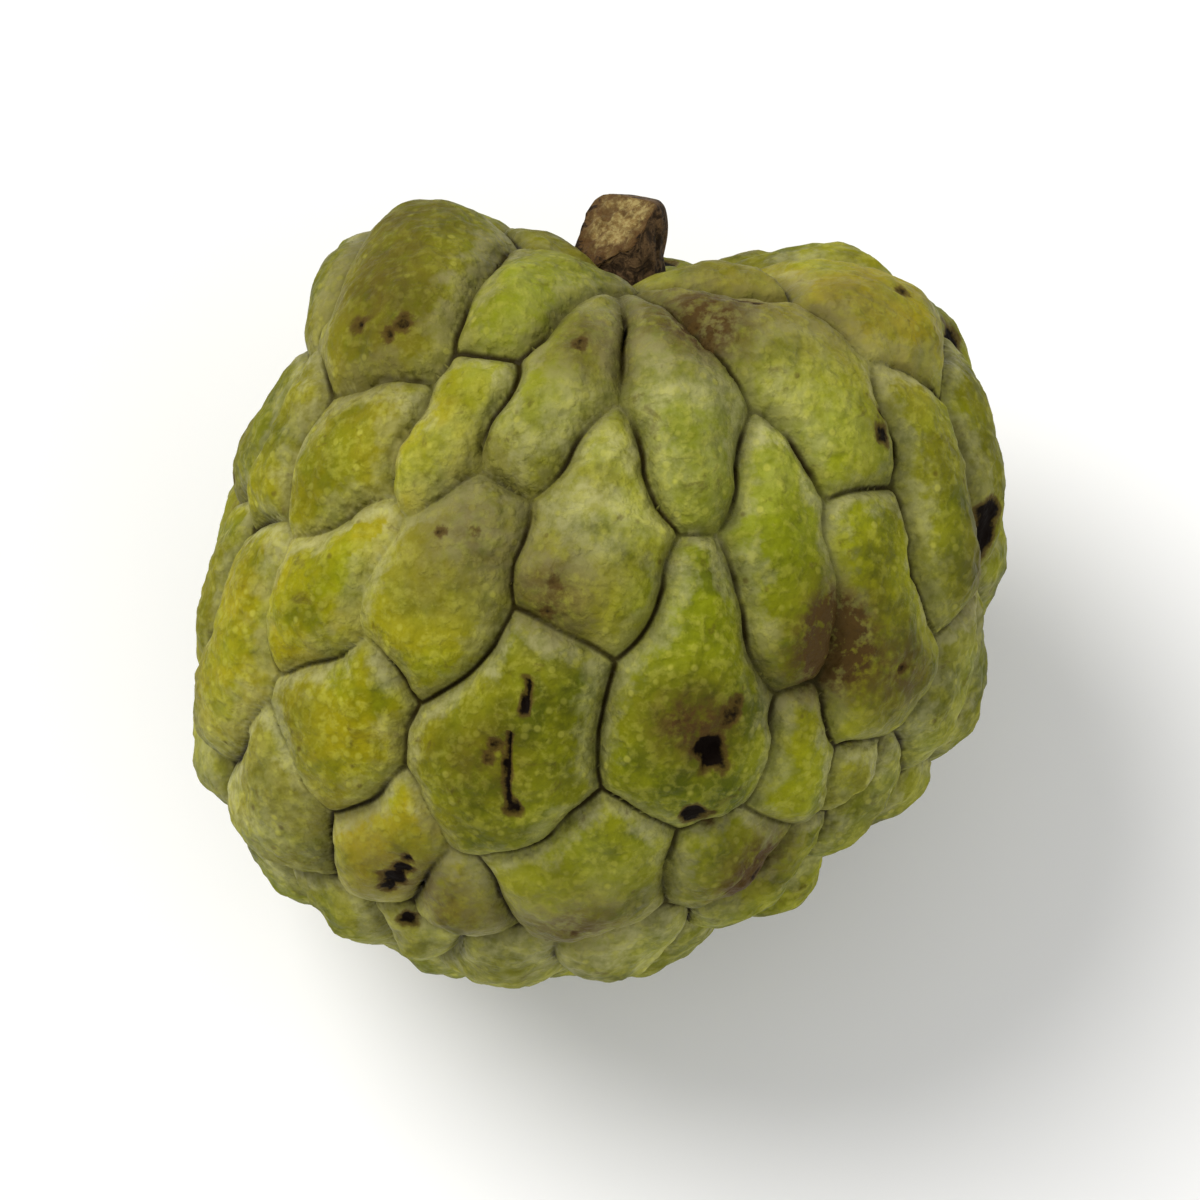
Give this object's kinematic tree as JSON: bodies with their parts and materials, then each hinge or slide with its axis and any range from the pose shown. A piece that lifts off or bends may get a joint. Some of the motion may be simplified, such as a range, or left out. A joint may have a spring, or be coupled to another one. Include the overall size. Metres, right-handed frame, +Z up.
{
  "type": "sugar apple",
  "caption": "Whole knobbly green fruit of fused, scale-like carpels, lying on its side on a small flat, with a short cut woody stalk.",
  "frame": {"origin": "on the surface it rests on, under the middle of the object's box", "axes": "+Z up from the surface; the stalk points towards +Y, raised 25 degrees and swung 5 degrees towards +X; the fruit's front faces up"},
  "size_m": [0.0786, 0.0754, 0.0771],
  "materials": {
    "fruit_skin": "waxy olive-green skin with grey bloom, dark grooves and brown scabs",
    "stalk_bark": "rough dark brown bark with a tan cut end"
  },
  "bodies": {
    "root": {"fruit": "fruit_skin", "stalk": "stalk_bark"}
  },
  "joints": []
}
